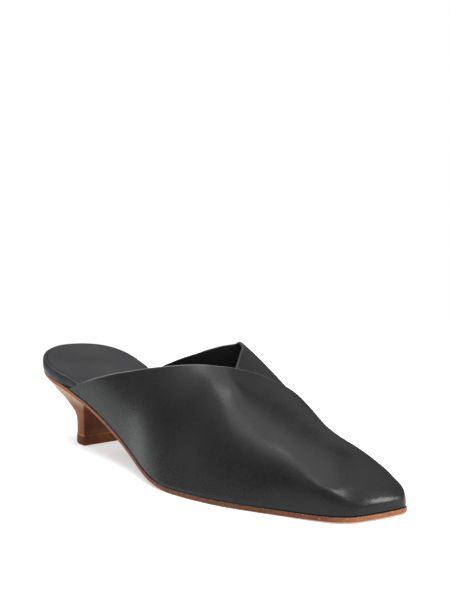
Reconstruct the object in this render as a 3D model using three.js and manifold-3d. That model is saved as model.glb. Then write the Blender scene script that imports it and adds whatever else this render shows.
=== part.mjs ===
// Wrap-over mule: a right shoe with a square toe, an open back and a low stacked heel.
// Millimetres, +Z up, toe towards -Y, outer (little-toe) side towards -X.
//
// The shapes are worked out in last coordinates and turned into the frame at the end:
//   u  forward from the back of the heel      w  towards the outer side      z  up
import * as THREE from 'three';
import { mergeVertices } from 'three/addons/utils/BufferGeometryUtils.js';
import Module from 'manifold-3d';

// ---------------------------------------------------------------- driving sizes
const LENGTH = 265;            // back of heel to toe, along the last
const WALL = 1.8;              // leather and lining of the upper
const SKIVE = 0.8;             // how much thinner the leathers are pared at their rear corners
const GAP = 0.3;               // between neighbouring pieces
const VAMP_PROUD = 0.8;        // vamp over the last where it laps the wing
const WING_SUNK = 0.7;         // wing under the last line all over
const BITE = 0.25;             // how deep the lapped leathers are pressed together
const INSOLE_HEEL = 6.1;       // wrapped insole at the heel, on top of the outsole
const INSOLE_PROUD = 0.5;      // insole past the feather line round the heel
const SOLE_EDGE = 0.5;         // outsole past the feather line, forefoot and arch
const SEAT_EDGE = 0.2;         // outsole past the feather line, round the heel
const LIFT = 6.0;              // top lift under the heel
const TOE_CORNER_OUT = 8.0;    // plan radius of the toe's outer corner
const TOE_CORNER_IN = 4.5;     // plan radius of the toe's inner corner
const TOE_PUFF = 2.4;          // the same rounding inside, where the toe is stiffened
const SOFT_TURN = 0.22;        // least `sharp` of the shoulders inside
const TOE_RIDGE = 1.2;         // rounding between the toe's top and its front
const CENTRE_U = 132.5;        // middle of the shoe along its length
const CENTRE_W = 0.57;         // middle of the shoe across its breadth

// Feather line: outer and inner half-breadths of the foot's outline at each station.
const PLAN = [
  { u: 0, out: 30.3, inn: -29.8 }, { u: 40, out: 30.5, inn: -27.0 }, { u: 60, out: 30.6, inn: -25.2 },
  { u: 80, out: 30.9, inn: -23.8 }, { u: 100, out: 31.9, inn: -22.8 }, { u: 120, out: 34.2, inn: -23.7 },
  { u: 140, out: 38.6, inn: -28.2 }, { u: 160, out: 40.9, inn: -34.0 }, { u: 180, out: 40.0, inn: -39.0 },
  { u: 200, out: 36.6, inn: -39.3 }, { u: 220, out: 30.4, inn: -35.2 }, { u: 235, out: 25.6, inn: -30.8 },
  { u: 247, out: 21.8, inn: -27.6 }, { u: 256, out: 18.4, inn: -25.7 }, { u: 262, out: 16.0, inn: -24.2 },
  { u: 265, out: 15.0, inn: -23.2 },
];
const SEAT_ROUND = { centre: -1.14, reach: 37.75, out: 1.67, inn: 2.53 };   // back of the heel in plan

// Underside of the outsole and its thickness: heel pitch, arch, tread flat on the ground, toe spring.
const SOLE = [
  { u: 0, under: 44.65, thick: 1.7 }, { u: 25, under: 40.74, thick: 1.7 }, { u: 50, under: 35.36, thick: 1.7 },
  { u: 75, under: 28.40, thick: 1.75 }, { u: 100, under: 18.90, thick: 1.9 }, { u: 125, under: 8.50, thick: 2.1 },
  { u: 150, under: 1.30, thick: 2.2 }, { u: 165, under: -0.10, thick: 2.25 }, { u: 190, under: -0.10, thick: 2.3 },
  { u: 215, under: 0.08, thick: 2.3 }, { u: 240, under: 0.32, thick: 2.3 }, { u: 265, under: 0.72, thick: 2.3 },
];

// Cross-sections of the last above the feather line. bulge: how far the side swells past the
// feather; shoulder: height and inset of the turn from side to top; crest: height above the
// ground, place across and half-widths of the top; sharp: how tight the shoulders turn.
const SECTIONS = [
  { u: 40, bulgeO: 0.5, bulgeI: 0.5, shO: 30.8, shI: 30.8, insO: 6.0, insI: 6.0, crest: 110.0, crestW: 0.0, topO: 9.0, topI: 9.0, sharp: 0.4 },
  { u: 80, bulgeO: 0.65, bulgeI: 0.49, shO: 37.05, shI: 34.7, insO: 0.63, insI: 6.19, crest: 99.98, crestW: -4.83, topO: 8.83, topI: 8.76, sharp: 0.383 },
  { u: 115, bulgeO: -0.77, bulgeI: 1.0, shO: 44.78, shI: 40.94, insO: 4.94, insI: 6.05, crest: 86.4, crestW: -7.98, topO: 10.53, topI: 8.91, sharp: 0.389 },
  { u: 140, bulgeO: -2.53, bulgeI: 2.0, shO: 49.78, shI: 47.37, insO: 8.04, insI: 6.5, crest: 76.03, crestW: -9.46, topO: 16.0, topI: 9.98, sharp: 0.407 },
  { u: 160, bulgeO: -6.07, bulgeI: 2.51, shO: 51.67, shI: 43.06, insO: 13.71, insI: 6.49, crest: 65.61, crestW: -10.08, topO: 15.89, topI: 10.38, sharp: 0.396 },
  { u: 180, bulgeO: -4.93, bulgeI: 2.01, shO: 51.65, shI: 33.92, insO: 16.26, insI: 8.46, crest: 54.09, crestW: -8.55, topO: 15.74, topI: 10.69, sharp: 0.347 },
  { u: 200, bulgeO: -2.55, bulgeI: 1.99, shO: 38.69, shI: 24.62, insO: 10.46, insI: 10.47, crest: 44.68, crestW: -8.01, topO: 11.31, topI: 9.05, sharp: 0.29 },
  { u: 220, bulgeO: -1.34, bulgeI: 0.97, shO: 28.81, shI: 18.57, insO: 7.5, insI: 10.09, crest: 35.89, crestW: -5.88, topO: 8.31, topI: 7.88, sharp: 0.245 },
  { u: 235, bulgeO: -0.32, bulgeI: 0.5, shO: 22.94, shI: 17.25, insO: 5.15, insI: 6.31, crest: 31.27, crestW: -5.83, topO: 8.44, topI: 8.77, sharp: 0.199 },
  { u: 247, bulgeO: 0.01, bulgeI: 0.31, shO: 15.69, shI: 16.08, insO: 2.48, insI: 3.31, crest: 25.66, crestW: -4.28, topO: 8.69, topI: 9.22, sharp: 0.103 },
  { u: 256, bulgeO: 0.37, bulgeI: 0.27, shO: 12.6, shI: 12.43, insO: 1.6, insI: 2.5, crest: 18.88, crestW: -3.01, topO: 8.49, topI: 8.24, sharp: 0.099 },
  { u: 262, bulgeO: 0.4, bulgeI: 0.41, shO: 8.5, shI: 8.3, insO: 1.9, insI: 1.28, crest: 13.2, crestW: -2.4, topO: 9.2, topI: 7.9, sharp: 0.113 },
  { u: 265, bulgeO: 0.2, bulgeI: 0.2, shO: 4.1, shI: 4.9, insO: 1.0, insI: 1.5, crest: 8.3, crestW: -2.8, topO: 8.0, topI: 8.1, sharp: 0.09 },
];

// Cut edges of the two leathers, as a share v of the girth: 0 at the outer feather, 1 at the inner.
// The vamp covers 0..v, and its edge climbs from the outer heel over the crest to the inner ball.
const VAMP_EDGE = [
  { u: 55, v: 0.0000 }, { u: 61, v: 0.0126 }, { u: 75, v: 0.0430 }, { u: 90, v: 0.0820 }, { u: 104, v: 0.1288 },
  { u: 120, v: 0.1839 }, { u: 137, v: 0.2387 }, { u: 152, v: 0.2958 }, { u: 165, v: 0.3676 }, { u: 177, v: 0.4946 },
  { u: 185, v: 0.5568 }, { u: 191, v: 0.6319 }, { u: 197, v: 0.8115 }, { u: 203, v: 1.0000 },
];
// The wing covers v..1, and its edge climbs from the inner heel over the crest and dives under the vamp.
const WING_EDGE = [
  { u: 61.5, v: 1.0000 }, { u: 66, v: 0.9718 }, { u: 82, v: 0.9138 }, { u: 101, v: 0.8302 }, { u: 116, v: 0.7714 },
  { u: 129, v: 0.7240 }, { u: 141, v: 0.6684 }, { u: 148, v: 0.5982 }, { u: 154, v: 0.5555 }, { u: 160, v: 0.5075 },
  { u: 166, v: 0.4654 }, { u: 171, v: 0.4295 }, { u: 177, v: 0.3950 }, { u: 186, v: 0.3600 }, { u: 200, v: 0.3450 },
  { u: 214, v: 0.3800 },
];
const WING_END = 214;          // hidden front edge of the wing

// Heel block: D-shaped sections between the top lift (q 0) and the outsole (q 1).
// flare: 0 the slim shaft, 1 the seat's outline; breast: the flat front.
const HEEL = [
  { q: 0, flare: 0.000, breast: 44.8 }, { q: 0.17, flare: 0.000, breast: 44.2 }, { q: 0.34, flare: 0.049, breast: 45.7 },
  { q: 0.52, flare: 0.237, breast: 50.2 }, { q: 0.67, flare: 0.449, breast: 56.3 }, { q: 0.81, flare: 0.687, breast: 62.7 },
  { q: 0.92, flare: 0.854, breast: 67.4 }, { q: 1, flare: 1.000, breast: 71.0 },
];
const SHAFT = { back: 26.2, reach: 17.8, half: 13.8, power: 2.1 };          // slim part of the heel

// ---------------------------------------------------------------- small helpers
const clamp = (x, a = 0, b = 1) => Math.min(b, Math.max(a, x));
const smooth = (x) => { const t = clamp(x); return t * t * (3 - 2 * t); };
const lerp = (a, b, t) => a + (b - a) * t;
const span = (n, f) => Array.from({ length: n + 1 }, (_, i) => f(i / n, i));

// natural cubic spline through one column of a table
function column(rows, key, by = 'u') {
  const x = rows.map((r) => r[by]), y = rows.map((r) => r[key]), n = x.length;
  const a = Array(n).fill(0), b = Array(n).fill(1), c = Array(n).fill(0), d = Array(n).fill(0), m = Array(n).fill(0);
  for (let i = 1; i < n - 1; i++) {
    a[i] = x[i] - x[i - 1]; c[i] = x[i + 1] - x[i]; b[i] = 2 * (a[i] + c[i]);
    d[i] = 6 * ((y[i + 1] - y[i]) / c[i] - (y[i] - y[i - 1]) / a[i]);
  }
  for (let i = 1; i < n; i++) { const k = a[i] / b[i - 1]; b[i] -= k * c[i - 1]; d[i] -= k * d[i - 1]; }
  m[n - 1] = d[n - 1] / b[n - 1];
  for (let i = n - 2; i >= 0; i--) m[i] = (d[i] - c[i] * m[i + 1]) / b[i];
  return (q0) => {
    const q = clamp(q0, x[0], x[n - 1]);
    let i = 0; while (i < n - 2 && q >= x[i + 1]) i++;
    const h = x[i + 1] - x[i], A = (x[i + 1] - q) / h, B = 1 - A;
    return A * y[i] + B * y[i + 1] + ((A ** 3 - A) * m[i] + (B ** 3 - B) * m[i + 1]) * h * h / 6;
  };
}
// monotone cubic through one column: cut edges never overshoot their table
function edge(rows, key) {
  const x = rows.map((r) => r.u), y = rows.map((r) => r[key]), n = x.length;
  const h = x.slice(1).map((b, i) => b - x[i]), d = h.map((g, i) => (y[i + 1] - y[i]) / g);
  const m = x.map((_, i) => {
    if (i === 0) return d[0];
    if (i === n - 1) return d[n - 2];
    if (d[i - 1] * d[i] <= 0) return 0;
    const a = 2 * h[i] + h[i - 1], b = h[i] + 2 * h[i - 1];
    return (a + b) / (a / d[i - 1] + b / d[i]);
  });
  return (q0) => {
    const q = clamp(q0, x[0], x[n - 1]);
    let i = 0; while (i < n - 2 && q >= x[i + 1]) i++;
    const t = (q - x[i]) / h[i], r = 1 - t;
    return y[i] * r * r * (1 + 2 * t) + y[i + 1] * t * t * (3 - 2 * t) + h[i] * (m[i] * t * r * r - m[i + 1] * t * t * r);
  };
}
// clamped uniform cubic B-spline weights for n control points
function weights(n, v) {
  const p = 3, t = clamp(v, 0, 1 - 1e-9), k = [];
  for (let i = 0; i < n + p + 1; i++) k.push(clamp((i - p) / (n - p)));
  let N = k.slice(0, -1).map((_, i) => (t >= k[i] && t < k[i + 1] ? 1 : 0));
  for (let d = 1; d <= p; d++) {
    N = N.slice(0, -1).map((_, i) => {
      let s = 0;
      if (k[i + d] > k[i]) s += (t - k[i]) / (k[i + d] - k[i]) * N[i];
      if (k[i + d + 1] > k[i + 1]) s += (k[i + d + 1] - t) / (k[i + d + 1] - k[i + 1]) * N[i + 1];
      return s;
    });
  }
  return N;
}

// ---------------------------------------------------------------- the last
const planOut = column(PLAN, 'out'), planInn = column(PLAN, 'inn');
const under = ((f) => (u) => Math.max(0, f(u)))(column(SOLE, 'under'));
const thick = column(SOLE, 'thick');
const seat = (u) => under(u) + thick(u);
const quarter = (x, r) => r * (1 - Math.sqrt(Math.max(0, 1 - clamp(x / r) ** 2)));
const super1 = (x, p) => (1 - (1 - clamp(x)) ** p) ** (1 / p);
// the toe's front runs back towards the outer side
const bend = (u, w) => -0.0056 * (w + 14) ** 2 * clamp((u - 205) / 60) ** 2;

function breadth(s) {
  const c = SEAT_ROUND.centre, x = (s + 0.29) / SEAT_ROUND.reach;
  const out = c + (planOut(s) - c) * super1(x, SEAT_ROUND.out) - quarter(s - (LENGTH - TOE_CORNER_OUT), TOE_CORNER_OUT);
  const inn = c + (planInn(s) - c) * super1(x, SEAT_ROUND.inn) + quarter(s - (LENGTH - TOE_CORNER_IN), TOE_CORNER_IN);
  return { out, inn };
}

const SEC = Object.fromEntries(Object.keys(SECTIONS[0]).slice(1).map((k) => [k, column(SECTIONS, k)]));
const mix2 = (a, b, t) => [lerp(a[0], b[0], t), lerp(a[1], b[1], t)];
// inside: the softer form the lining follows, so the wall never thins at the ridges
function lastPoint(s, v, inside = false) {
  const g = Object.fromEntries(Object.entries(SEC).map(([k, f]) => [k, f(s)]));
  const { out, inn } = breadth(s), z0 = seat(s), ridge = inside ? TOE_PUFF : TOE_RIDGE;
  const drop = quarter(s - (LENGTH - ridge), ridge), sharp = inside ? Math.max(g.sharp, SOFT_TURN) : g.sharp;
  const hO = g.shO - drop, hI = g.shI - drop, top = g.crest - z0 - drop;
  const side = [out + g.bulgeO, 0.5 * hO], turn = [out - g.insO, hO], crest = [g.crestW + g.topO, top];
  const side2 = [inn - g.bulgeI, 0.5 * hI], turn2 = [inn + g.insI, hI], crest2 = [g.crestW - g.topI, top];
  const cp = [[out, 0], side, mix2(turn, side, sharp), mix2(turn, crest, sharp), crest,
    crest2, mix2(turn2, crest2, sharp), mix2(turn2, side2, sharp), side2, [inn, 0]];
  const N = weights(10, v);
  let w = 0, z = z0; cp.forEach((p, i) => { w += N[i] * p[0]; z += N[i] * p[1]; });
  return new THREE.Vector3(s + bend(s, w), w, z);
}
function lastNormal(s, v, inside = false) {
  if (v < 0.02) v = 0.0005; if (v > 0.98) v = 0.9995;
  const e = 0.02, s1 = Math.min(s, LENGTH), a = lastPoint(s1, v, inside), b = lastPoint(s1 - e, v, inside);
  const c = lastPoint(s1, clamp(v + 0.002), inside), d = lastPoint(s1, clamp(v - 0.002), inside);
  const n = a.clone().sub(b).cross(c.sub(d)).normalize();
  if (v < 0.02 || v > 0.98) { n.z = 0; n.normalize(); }
  const { out, inn } = breadth(s1), mid = (out + inn) / 2;
  if (n.y * (a.y - mid) + n.z * 20 < 0) n.negate();
  return n;
}

// ---------------------------------------------------------------- solids from grids
// A closed solid between two grids of points with the same rows and columns.
function slab(outer, inner) {
  const R = outer.length, C = outer[0].length, pos = [], tri = (a, b, c) => pos.push(...a, ...b, ...c);
  const P = (p) => [CENTRE_W - p.y, CENTRE_U - p.x, p.z];
  const quad = (a, b, c, d) => { tri(a, b, c); tri(a, c, d); };
  const o = outer.map((r) => r.map(P)), i = inner.map((r) => r.map(P));
  for (let r = 0; r < R - 1; r++) for (let c = 0; c < C - 1; c++) {
    quad(o[r][c], o[r][c + 1], o[r + 1][c + 1], o[r + 1][c]);
    quad(i[r][c], i[r + 1][c], i[r + 1][c + 1], i[r][c + 1]);
  }
  for (let r = 0; r < R - 1; r++) {
    quad(o[r][0], o[r + 1][0], i[r + 1][0], i[r][0]);
    quad(o[r + 1][C - 1], o[r][C - 1], i[r][C - 1], i[r + 1][C - 1]);
  }
  for (let c = 0; c < C - 1; c++) {
    quad(o[0][c + 1], o[0][c], i[0][c], i[0][c + 1]);
    quad(o[R - 1][c], o[R - 1][c + 1], i[R - 1][c + 1], i[R - 1][c]);
  }
  return tidy(pos);
}
// merges shared points, drops triangles without area and turns the faces outwards
function tidy(pos) {
  let g = new THREE.BufferGeometry();
  g.setAttribute('position', new THREE.Float32BufferAttribute(pos, 3));
  g = mergeVertices(g, 1e-3);
  const p = g.attributes.position, idx = g.index.array, keep = [], v = (k) => new THREE.Vector3().fromBufferAttribute(p, k);
  let volume = 0;
  for (let k = 0; k < idx.length; k += 3) {
    const [a, b, c] = [idx[k], idx[k + 1], idx[k + 2]];
    if (a === b || b === c || a === c) continue;
    keep.push(a, b, c); volume += v(a).dot(v(b).cross(v(c))) / 6;
  }
  if (volume < 0) for (let k = 0; k < keep.length; k += 3) [keep[k + 1], keep[k + 2]] = [keep[k + 2], keep[k + 1]];
  g.setIndex(keep);
  return g;
}

// ---------------------------------------------------------------- upper
const vampEdge = edge(VAMP_EDGE, 'v'), wingEdge = edge(WING_EDGE, 'v');
const GIRTH = 112;             // feather to feather over the instep, for fading the lap
// 1 where the wing lies under the vamp, fading out beyond the wing's hidden edges
function lap(s, v) {
  const across = (wingEdge(s) - v) * GIRTH, ahead = s - WING_END;
  return smooth(1 - (across - 1.5) / 14) * smooth(1 - (ahead - 1) / 16);
}
function leatherPoint(s, v, depth, inside) {
  const p = lastPoint(s, v, inside), n = lastNormal(s, v, inside);
  p.addScaledVector(n, depth);
  // the lowest 3 mm are lifted clear of the sole
  const floor = seat(p.x), h = v < 1e-6 || v > 1 - 1e-6 ? 0 : Math.max(0, p.z - floor);
  p.z = floor + (h < 3 ? GAP + h * (1 - GAP / 3) : h);
  return p;
}
const wall = (s) => WALL - SKIVE * smooth((70 - s) / 15);
// rows of a leather between two girth shares, with the square toe's front face closing the vamp
function leather(stations, columns, from, to, proud, bite, front) {
  const build = (inner) => {
    const grid = stations.map((s) => span(columns, (t) => {
      const v = lerp(from(s), to(s), t);
      return leatherPoint(s, v, proud(s, v) - (inner ? wall(s) + bite(s, v) : 0), inner);
    }));
    if (front) {
      const ring = grid[grid.length - 1];
      for (const k of [0.5, 1]) grid.push(ring.map((p) => new THREE.Vector3(p.x, p.y, lerp(p.z, seat(p.x) + GAP, k))));
    }
    return grid;
  };
  return slab(build(false), build(true));
}
const VAMP_ROWS = [55.6, 59, 64, 70, 77, 84, 91, 98, 105, 112, 119, 126, 133, 140, 146, 152, 157, 162, 167, 172, 176, 179,
  181.5, 184, 186.5, 189, 191.5, 194, 196.5, 199, 201, 203, 209, 216, 223, 230, 237, 243, 248, 252, 255.5, 258.5, 261, 262.8, 263.8, 264.4, 264.8, 265];
const WING_ROWS = [61.8, 63.5, 66, 70, 75, 82, 90, 98, 106, 114, 121, 128, 134, 140, 145, 150, 155, 160, 165, 171, 178, 185, 192, 199, 206, 214];
const vamp = leather(VAMP_ROWS, 26, () => 0, vampEdge, (s, v) => VAMP_PROUD * lap(s, v), (s, v) => BITE * lap(s, v), true);
const wing = leather(WING_ROWS, 14, wingEdge, () => 1, () => -WING_SUNK, () => 0, false);

// ---------------------------------------------------------------- sole and insole
// Outline of the feather line as paired points, moved outwards in plan by grow(s, side).
function outline(rows, grow) {
  const N = rows.map((s) => { const w = breadth(s).out; return [s + bend(s, w), w]; });
  const F = rows.map((s) => { const w = breadth(s).inn; return [s + bend(s, w), w]; });
  const ring = [...N, ...[...F].reverse()], n = ring.length, R = rows.length;
  const moved = ring.map((p, k) => {
    const a = ring[k === R ? k : (k + n - 1) % n], b = ring[k === R - 1 ? k : (k + 1) % n], du = b[0] - a[0], dw = b[1] - a[1], l = Math.hypot(du, dw);
    const s = rows[k < R ? k : n - 1 - k], g = grow(s, k < R ? 1 : -1);
    return [p[0] - dw / l * g, p[1] + du / l * g];
  });
  return rows.map((s, i) => ({ s, n: moved[i], f: moved[n - 1 - i], grow: grow(s, 1), last: i === R - 1 }));
}
function plate(rows, grow, zTop, zBottom, soften = 0) {
  const level = (extra, z) => outline(rows, (s, side) => grow(s, side) - extra).map((r) => span(4, (t) => {
    const w = lerp(r.n[1], r.f[1], t), u = r.last ? r.s + bend(r.s, w) + r.grow : lerp(r.n[0], r.f[0], t);
    return new THREE.Vector3(u, w, z(u));
  }));
  return slab(level(0, zTop), level(soften, zBottom));
}
const SOLE_ROWS = [0, 0.5, 1.6, 3.4, 6, 9.5, 14, 20, 27, 35, 44, 54, 64, 74, 84, 94, 104, 113, 122, 131, 139, 147, 155, 163, 171,
  180, 190, 200, 210, 220, 230, 239, 247, 253, 257, 260, 262, 263.6, 264.6, 265];
const soleGrow = (s) => lerp(SEAT_EDGE, SOLE_EDGE, smooth((s - 44) / 24));
const outsole = plate(SOLE_ROWS, soleGrow, seat, under, 0.35);

// insole: wrapped board at the heel, thinning to a sock inside the upper
const INSOLE = [{ u: 0, t: INSOLE_HEEL }, { u: 50, t: INSOLE_HEEL }, { u: 80, t: 5.2 }, { u: 120, t: 3.5 }, { u: 160, t: 2.6 }, { u: 265, t: 2.3 }];
const insoleThick = edge(INSOLE, 't');
const INSOLE_ROWS = [0, 0.5, 1.6, 3.4, 6, 9.5, 14, 20, 27, 35, 40, 44, 46, 48, 50, 52, 54, 55.5, 57, 58.5, 60, 61.5, 63, 66, 70, 79, 88, 98, 107, 116, 125, 133, 141, 149, 157,
  166, 176, 188, 200, 212, 224, 234, 242, 248, 251.5];
// it draws in where the leathers begin: under the vamp's rear corner sooner than under the wing's
const insoleGrow = (s, side) => (side > 0
  ? INSOLE_PROUD - 1.8 * smooth((s - 43) / 12) - 1.8 * smooth((s - 55) / 20)
  : INSOLE_PROUD - 2.9 * smooth((s - 49) / 12.5) - 0.7 * smooth((s - 61.5) / 10));
const insole = plate(INSOLE_ROWS, insoleGrow, (u) => seat(u) + insoleThick(u), (u) => seat(u) + GAP);

// ---------------------------------------------------------------- heel and top lift
const flare = column(HEEL, 'flare', 'q'), breast = column(HEEL, 'breast', 'q');
function heelRing(f, front, grow = 0) {
  const back = lerp(SHAFT.back, -0.29, f) - grow, reach = lerp(SHAFT.reach, SEAT_ROUND.reach, f) + grow, c = lerp(0, SEAT_ROUND.centre, f);
  const half = (u, side) => side > 0
    ? lerp(SHAFT.half + grow, planOut(u) + 0.2, f) : lerp(-SHAFT.half - grow, planInn(u) - 0.2, f);
  const arc = (side) => span(9, (t) => {
    const p = lerp(SHAFT.power, side > 0 ? SEAT_ROUND.out : SEAT_ROUND.inn, f), a = t * Math.PI / 2;
    const u = back + (1 - Math.cos(a) ** (2 / p)) * reach;
    return [u, c + (half(u, side) - c) * Math.sin(a) ** (2 / p)];
  });
  const end = back + reach;
  const flank = (side) => [0.5, 1].map((t) => { const u = lerp(end, Math.max(front, end + 0.4), t); return [u, half(u, side)]; });
  const near = [...arc(1), ...flank(1)], far = [...arc(-1), ...flank(-1)];
  return near.map((p, i) => span(4, (t) => [lerp(p[0], far[i][0], t), lerp(p[1], far[i][1], t)]));
}
// rings stacked from q 0 to q 1 make the sides; the two end rings close it
function stack(rings) {
  const pos = [], P = (p) => [CENTRE_W - p[1], CENTRE_U - p[0], p[2]];
  const tri = (a, b, c) => pos.push(...P(a), ...P(b), ...P(c)), quad = (a, b, c, d) => { tri(a, b, c); tri(a, c, d); };
  const border = (g) => {
    const n = g.length - 1, m = g[0].length - 1, out = [];
    for (let i = 0; i < n; i++) out.push(g[i][0]);
    for (let j = 0; j < m; j++) out.push(g[n][j]);
    for (let i = n; i > 0; i--) out.push(g[i][m]);
    for (let j = m; j > 0; j--) out.push(g[0][j]);
    return out;
  };
  const cap = (g, up) => {
    for (let i = 0; i < g.length - 1; i++) for (let j = 0; j < g[0].length - 1; j++) {
      if (up) quad(g[i][j], g[i + 1][j], g[i + 1][j + 1], g[i][j + 1]);
      else quad(g[i][j], g[i][j + 1], g[i + 1][j + 1], g[i + 1][j]);
    }
  };
  cap(rings[0], false); cap(rings[rings.length - 1], true);
  for (let k = 0; k < rings.length - 1; k++) {
    const a = border(rings[k]), b = border(rings[k + 1]), n = a.length;
    for (let i = 0; i < n; i++) quad(a[i], a[(i + 1) % n], b[(i + 1) % n], b[i]);
  }
  return tidy(pos);
}
const raise = (ring, z) => ring.map((r) => r.map(([u, w]) => [u, w, z(u)]));
const heelFoot = LIFT + GAP;
const heel = stack([0, 0.09, 0.17, 0.25, 0.34, 0.43, 0.52, 0.6, 0.67, 0.74, 0.81, 0.87, 0.92, 0.965, 1].map((q) =>
  raise(heelRing(Math.max(0, flare(q)), breast(q)), (u) => lerp(heelFoot, under(u) - GAP, q))));
const topLift = stack([[0, 0.35, -0.1], [0.6, 0.55, 0.2], [3, 0.35, 0.1], [LIFT, 0, 0]].map(([z, grow, more]) =>
  raise(heelRing(0, 44.8 + more, grow), () => z)));

// ---------------------------------------------------------------- joining
const wasm = await Module();
wasm.setup();
const solid = (g) => new wasm.Manifold(new wasm.Mesh({
  numProp: 3, vertProperties: new Float32Array(g.attributes.position.array), triVerts: new Uint32Array(g.index.array),
}));
function geometry(m) {
  const mesh = m.getMesh(), g = new THREE.BufferGeometry();
  g.setAttribute('position', new THREE.Float32BufferAttribute(mesh.vertProperties, 3));
  g.setIndex(new THREE.Uint32BufferAttribute(mesh.triVerts, 1));
  return g;
}
// the two leathers are one body where they lap, with no pocket left between them
const upper = geometry(solid(vamp).add(solid(wing)).decompose().reduce((a, b) => (b.volume() > a.volume() ? b : a)));

// ---------------------------------------------------------------- scene
const leatherBlack = new THREE.MeshStandardMaterial({ name: 'leather', color: 0x2c2c2d, roughness: 0.52, metalness: 0 });
const sockBlack = new THREE.MeshStandardMaterial({ name: 'sock', color: 0x414145, roughness: 0.6, metalness: 0 });
const soleTan = new THREE.MeshStandardMaterial({ name: 'sole_leather', color: 0xa5643a, roughness: 0.6, metalness: 0 });
const heelTan = new THREE.MeshStandardMaterial({ name: 'heel_stack', color: 0x96603a, roughness: 0.55, metalness: 0 });
const liftBrown = new THREE.MeshStandardMaterial({ name: 'top_lift', color: 0x5d3a22, roughness: 0.7, metalness: 0 });

const shoe = new THREE.Group();
shoe.name = 'mule';
for (const [name, g, material] of [
  ['upper', upper, leatherBlack], ['insole', insole, sockBlack], ['outsole', outsole, soleTan],
  ['heel', heel, heelTan], ['top_lift', topLift, liftBrown],
]) {
  g.computeVertexNormals();
  const mesh = new THREE.Mesh(g, material);
  mesh.name = name;
  shoe.add(mesh);
}
export default shoe;
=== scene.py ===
# Wrap-over mule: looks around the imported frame. Metres, +Z up, toe towards -Y, outer side towards -X.
# Shapes are worked out in last coordinates in millimetres: u forward from the heel, w to the outer side, z up.
import math
import bmesh
import bpy
import numpy as np
from mathutils import Matrix, Vector

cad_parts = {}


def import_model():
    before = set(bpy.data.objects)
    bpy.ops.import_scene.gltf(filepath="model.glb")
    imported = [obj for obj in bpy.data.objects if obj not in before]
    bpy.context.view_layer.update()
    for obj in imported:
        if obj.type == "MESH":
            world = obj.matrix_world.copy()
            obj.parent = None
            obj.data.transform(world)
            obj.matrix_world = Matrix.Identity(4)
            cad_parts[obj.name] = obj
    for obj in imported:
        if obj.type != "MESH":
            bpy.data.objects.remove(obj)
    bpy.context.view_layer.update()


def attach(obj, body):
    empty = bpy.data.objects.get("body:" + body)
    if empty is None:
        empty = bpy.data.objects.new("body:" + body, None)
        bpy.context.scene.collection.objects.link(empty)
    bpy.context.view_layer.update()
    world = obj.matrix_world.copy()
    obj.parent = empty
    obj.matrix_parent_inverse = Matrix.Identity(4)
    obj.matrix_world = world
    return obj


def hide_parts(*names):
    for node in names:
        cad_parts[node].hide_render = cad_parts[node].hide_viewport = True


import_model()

# ------------------------------------------------------------------ sizes (mm), as in the frame
LENGTH = 265.0
CENTRE_U, CENTRE_W = 132.5, 0.57
TOE_CORNER_OUT, TOE_CORNER_IN, TOE_RIDGE = 8.0, 4.5, 1.2
TOE_PUFF, SOFT_TURN = 2.4, 0.22   # the toe ridge and the shoulders inside
WALL, SKIVE, VAMP_PROUD, WING_SUNK = 1.8, 0.8, 0.8, 0.7
SOLE_EDGE, SEAT_EDGE = 0.5, 0.2   # outsole past the feather line: forefoot and arch, heel
INSOLE_PROUD = 0.5                # insole past the feather line at the heel
LIFT = 6.0
GIRTH = 112.0
WING_END = 214.0

PLAN = dict(
    u=[0, 40, 60, 80, 100, 120, 140, 160, 180, 200, 220, 235, 247, 256, 262, 265],
    out=[30.3, 30.5, 30.6, 30.9, 31.9, 34.2, 38.6, 40.9, 40.0, 36.6, 30.4, 25.6, 21.8, 18.4, 16.0, 15.0],
    inn=[-29.8, -27.0, -25.2, -23.8, -22.8, -23.7, -28.2, -34.0, -39.0, -39.3, -35.2, -30.8, -27.6, -25.7, -24.2, -23.2])
SEAT_ROUND = dict(centre=-1.14, reach=37.75, out=1.67, inn=2.53)
SOLE = dict(
    u=[0, 25, 50, 75, 100, 125, 150, 165, 190, 215, 240, 265],
    under=[44.65, 40.74, 35.36, 28.40, 18.90, 8.50, 1.30, -0.10, -0.10, 0.08, 0.32, 0.72],
    thick=[1.7, 1.7, 1.7, 1.75, 1.9, 2.1, 2.2, 2.25, 2.3, 2.3, 2.3, 2.3])
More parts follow.
